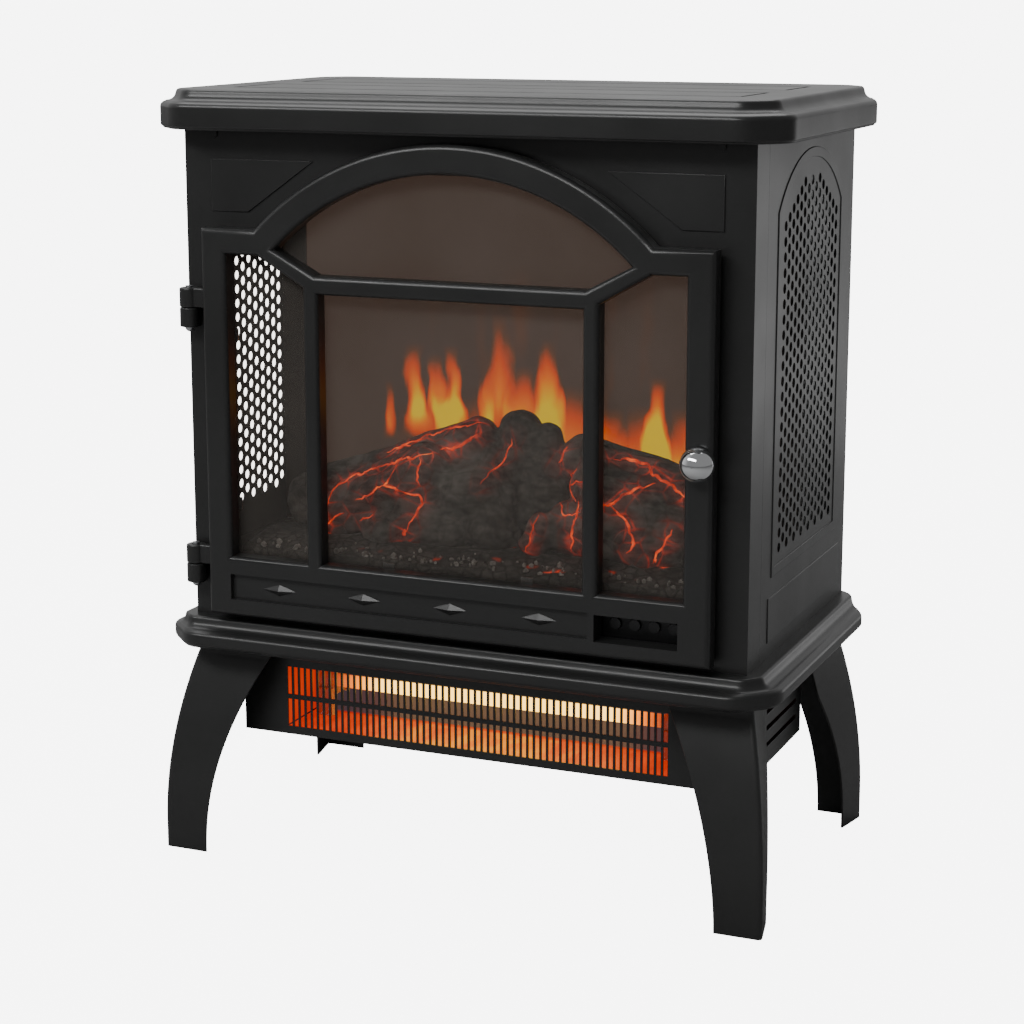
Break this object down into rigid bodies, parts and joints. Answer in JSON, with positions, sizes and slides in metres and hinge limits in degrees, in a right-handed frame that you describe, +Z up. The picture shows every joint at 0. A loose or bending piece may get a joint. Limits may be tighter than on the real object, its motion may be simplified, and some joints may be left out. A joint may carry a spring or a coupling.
{
  "type": "electric fireplace",
  "caption": "Free-standing electric fireplace stove on splayed legs, with an arched glazed door, moulded logs, a rotating flame effect and a glowing heater grille below.",
  "frame": {"origin": "on the floor, at the middle of the overall box", "axes": "+X to the viewer's right when facing the door, +Y to the back, +Z up"},
  "size_m": [0.532, 0.322, 0.636],
  "materials": {
    "black_powder_coat": "satin black powder coat",
    "screen_surround_paint": "flat grey-brown paint",
    "galvanised_sheet": "dull galvanised sheet",
    "bright_steel": "zinc plated",
    "chrome": "mirror chrome",
    "polished_reflector": "polished",
    "flame_screen": "frosted translucent sheet, lit from behind",
    "ember_resin": "cast translucent resin",
    "log_resin": "cast resin, hand-painted charcoal",
    "door_glass": "tempered, lightly smoked",
    "quartz": "clear quartz tube",
    "glowing_wire": "resistance wire, glowing",
    "ceramic": "unglazed",
    "bearing_plastic": "natural acetal",
    "motor_case": "stamped motor case",
    "circuit_board": "green solder mask",
    "led_emitters": "clear epoxy",
    "black_plastic": "moulded black",
    "button_plastic": "moulded black",
    "receiver_lens": "dark red infrared window",
    "impeller_metal": "mill finish"
  },
  "bodies": {
    "cabinet": {"top_plate": "black_powder_coat", "base_plate": "black_powder_coat", "front_panel": "black_powder_coat", "left_side_panel": "black_powder_coat", "right_side_panel": "black_powder_coat", "rear_panel": "black_powder_coat", "panel_screws": "black_powder_coat", "firebox_floor": "black_powder_coat", "firebox_ceiling": "black_powder_coat", "screen_frame": "screen_surround_paint", "flame_screen": "flame_screen", "flame_box": "galvanised_sheet", "ember_bed": "ember_resin", "log_set": "log_resin", "spindle_motor": "motor_case", "spindle_bush": "bearing_plastic", "led_boards": "circuit_board", "leds": "led_emitters", "body_hinge_brackets": "black_powder_coat", "hinge_pins": "bright_steel", "magnet_catch": "black_plastic", "control_panel": "black_plastic", "control_board": "circuit_board", "tact_switches": "black_plastic", "remote_receiver": "receiver_lens", "heater_housing": "black_powder_coat", "heater_grille": "black_powder_coat", "reflector": "polished_reflector", "quartz_tubes": "quartz", "filaments": "glowing_wire", "tube_holders": "ceramic", "blower_scroll": "galvanised_sheet", "blower_motor": "motor_case", "blower_bush": "bearing_plastic", "thermal_cutout": "black_plastic", "tip_switch_case": "black_plastic", "terminal_block": "ceramic", "cord_gland": "black_plastic", "leg_front_left": "black_powder_coat", "leg_front_right": "black_powder_coat", "leg_rear_left": "black_powder_coat", "leg_rear_right": "black_powder_coat", "leg_screws": "bright_steel"},
    "door": {"door_frame": "black_powder_coat", "door_glass": "door_glass", "glass_clips": "bright_steel", "glass_clip_screws": "bright_steel", "door_knob": "chrome", "knob_screw": "bright_steel", "door_hinge_knuckles": "black_powder_coat", "strike_plate": "bright_steel"},
    "power_button_body": {"power_button": "button_plastic"},
    "heat_button_body": {"heat_button": "button_plastic"},
    "flame_button_body": {"flame_button": "button_plastic"},
    "timer_button_body": {"timer_button": "button_plastic"},
    "spindle": {"flame_spindle": "bright_steel"},
    "impeller": {"blower_impeller": "impeller_metal"},
    "pendulum": {"tip_pendulum": "bright_steel"}
  },
  "joints": [
    {"name": "door_hinge", "type": "hinge", "parent": "cabinet", "child": "door", "pos_m": [-0.2345, -0.13, 0.3], "axis": [0, 0, -1], "range_deg": [0, 110]},
    {"name": "power_press", "type": "slide", "parent": "cabinet", "child": "power_button_body", "axis": [0, 1, 0], "range_m": [0, 0.0012], "stiffness_N_per_m": 400, "springref_m": -0.0005},
    {"name": "heat_press", "type": "slide", "parent": "cabinet", "child": "heat_button_body", "axis": [0, 1, 0], "range_m": [0, 0.0012], "stiffness_N_per_m": 400, "springref_m": -0.0005},
    {"name": "flame_press", "type": "slide", "parent": "cabinet", "child": "flame_button_body", "axis": [0, 1, 0], "range_m": [0, 0.0012], "stiffness_N_per_m": 400, "springref_m": -0.0005},
    {"name": "timer_press", "type": "slide", "parent": "cabinet", "child": "timer_button_body", "axis": [0, 1, 0], "range_m": [0, 0.0012], "stiffness_N_per_m": 400, "springref_m": -0.0005},
    {"name": "flame_spin", "type": "hinge", "parent": "cabinet", "child": "spindle", "pos_m": [0, 0.093, 0.262], "axis": [1, 0, 0], "continuous": true},
    {"name": "blower_spin", "type": "hinge", "parent": "cabinet", "child": "impeller", "pos_m": [0, 0.037, 0.14], "axis": [1, 0, 0], "continuous": true},
    {"name": "tip_swing", "type": "hinge", "parent": "cabinet", "child": "pendulum", "pos_m": [-0.193, 0.015, 0.1292], "axis": [1, 0, 0], "range_deg": [-16, 16]}
  ]
}
